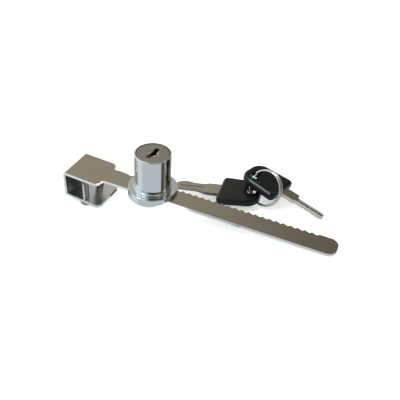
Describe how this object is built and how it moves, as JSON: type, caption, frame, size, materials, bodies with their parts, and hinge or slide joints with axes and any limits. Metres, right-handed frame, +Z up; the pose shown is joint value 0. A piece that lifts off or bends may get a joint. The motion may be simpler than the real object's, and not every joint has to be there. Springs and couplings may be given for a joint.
{
  "type": "sliding glass door ratchet lock",
  "caption": "Ratchet lock for sliding glass doors: saw-toothed steel strip with a glass hook, chrome lock body that slides along it, and keys on a split ring.",
  "frame": {"origin": "on the barrel's axis, at the underside of the lock body's flange", "axes": "+Z up the barrel towards the key face, +X along the bar from the glass hook to its rounded tip, +Y towards the toothed edge"},
  "size_m": [0.1474, 0.0541, 0.0402],
  "materials": {
    "nickel_steel": "nickel-plated strip steel, satin",
    "screw_steel": "zinc-plated steel",
    "chromed_zinc": "bright chrome on die-cast zinc",
    "plug_face": "satin nickel on cast zinc",
    "spring_steel": "drawn spring wire and strip",
    "wafer_brass": "stamped brass",
    "soft_tip": "soft black button",
    "key_nickel": "nickel-plated key blank",
    "black_plastic": "semi-gloss moulded plastic",
    "ring_steel": "bright nickel-plated steel wire"
  },
  "bodies": {
    "bar": {"ratchet_bar": "nickel_steel"},
    "lock_body": {"lock_housing": "chromed_zinc", "base_plate": "nickel_steel", "base_screws": "screw_steel", "turn_stop_pin": "screw_steel", "pawl_spring": "spring_steel"},
    "plug": {"plug": "plug_face", "retaining_clip": "spring_steel", "wafer_spring_1": "spring_steel", "wafer_spring_2": "spring_steel", "wafer_spring_3": "spring_steel", "wafer_spring_4": "spring_steel", "wafer_spring_5": "spring_steel", "wafer_spring_6": "spring_steel"},
    "pawl": {"pawl": "screw_steel"},
    "front_clamp": {"front_clamp_tip": "soft_tip"},
    "front_clamp_screw": {"front_clamp_screw": "screw_steel"},
    "rear_clamp": {"rear_clamp_tip": "soft_tip"},
    "rear_clamp_screw": {"rear_clamp_screw": "screw_steel"},
    "key_b": {"key_blade_b": "key_nickel", "key_head_b": "black_plastic"},
    "key_a": {"key_blade_a": "key_nickel", "key_head_a": "black_plastic"},
    "split_ring": {"split_ring": "ring_steel"},
    "wafer_1": {"wafer_1": "wafer_brass"},
    "wafer_2": {"wafer_2": "wafer_brass"},
    "wafer_3": {"wafer_3": "wafer_brass"},
    "wafer_4": {"wafer_4": "wafer_brass"},
    "wafer_5": {"wafer_5": "wafer_brass"},
    "wafer_6": {"wafer_6": "wafer_brass"}
  },
  "joints": [
    {"name": "lock_slide", "type": "slide", "parent": "bar", "child": "lock_body", "axis": [1, 0, 0], "range_m": [-0.01101, 0.08441]},
    {"name": "plug_turn", "type": "hinge", "parent": "lock_body", "child": "plug", "pos_m": [0, 0, 0.0125], "axis": [0, 0, -1], "range_deg": [0, 90]},
    {"name": "pawl_slide", "type": "slide", "parent": "lock_body", "child": "pawl", "axis": [0, -1, 0], "range_m": [0, 0.0013], "deforming": ["pawl_spring"]},
    {"name": "wafer_1_slide", "type": "slide", "parent": "plug", "child": "wafer_1", "axis": [0, 1, 0], "range_m": [0, 0.0007], "deforming": ["wafer_spring_1"]},
    {"name": "wafer_2_slide", "type": "slide", "parent": "plug", "child": "wafer_2", "axis": [0, -1, 0], "range_m": [0, 0.0007], "deforming": ["wafer_spring_2"]},
    {"name": "wafer_3_slide", "type": "slide", "parent": "plug", "child": "wafer_3", "axis": [0, 1, 0], "range_m": [0, 0.0007], "deforming": ["wafer_spring_3"]},
    {"name": "wafer_4_slide", "type": "slide", "parent": "plug", "child": "wafer_4", "axis": [0, -1, 0], "range_m": [0, 0.0007], "deforming": ["wafer_spring_4"]},
    {"name": "wafer_5_slide", "type": "slide", "parent": "plug", "child": "wafer_5", "axis": [0, 1, 0], "range_m": [0, 0.0007], "deforming": ["wafer_spring_5"]},
    {"name": "wafer_6_slide", "type": "slide", "parent": "plug", "child": "wafer_6", "axis": [0, -1, 0], "range_m": [0, 0.0007], "deforming": ["wafer_spring_6"]},
    {"name": "front_clamp_travel", "type": "slide", "parent": "bar", "child": "front_clamp", "axis": [0, 0, -1], "range_m": [0, 0.0105]},
    {"name": "front_clamp_turn", "type": "hinge", "parent": "front_clamp", "child": "front_clamp_screw", "pos_m": [-0.0372, -0.0081, -0.0131], "axis": [0, 0, -1], "range_deg": [0, 5400]},
    {"name": "rear_clamp_travel", "type": "slide", "parent": "bar", "child": "rear_clamp", "axis": [0, 0, -1], "range_m": [0, 0.0105]},
    {"name": "rear_clamp_turn", "type": "hinge", "parent": "rear_clamp", "child": "rear_clamp_screw", "pos_m": [-0.0372, 0.0067, -0.0131], "axis": [0, 0, -1], "range_deg": [0, 5400]},
    {"name": "keys_lift", "type": "slide", "parent": "lock_body", "child": "key_b", "axis": [0, 0, 1], "range_m": [0, 0.03]},
    {"name": "ring_turn", "type": "hinge", "parent": "key_b", "child": "split_ring", "pos_m": [0.05377, 0.02457, 0.00541], "axis": [-0.346, -0.836, 0.4259], "continuous": true},
    {"name": "key_a_swing", "type": "hinge", "parent": "key_b", "child": "key_a", "pos_m": [0.04606, 0.02512, 0.00023], "axis": [-0.44, 0.546, 0.713], "range_deg": [0, 7]}
  ],
  "couplings": [
    {"joint": "pawl_slide", "follows": "plug_turn", "m_per_rad": 0.0008276},
    {"joint": "front_clamp_turn", "follows": "front_clamp_travel", "rad_per_m": 8975.9},
    {"joint": "rear_clamp_turn", "follows": "rear_clamp_travel", "rad_per_m": 8975.9}
  ]
}
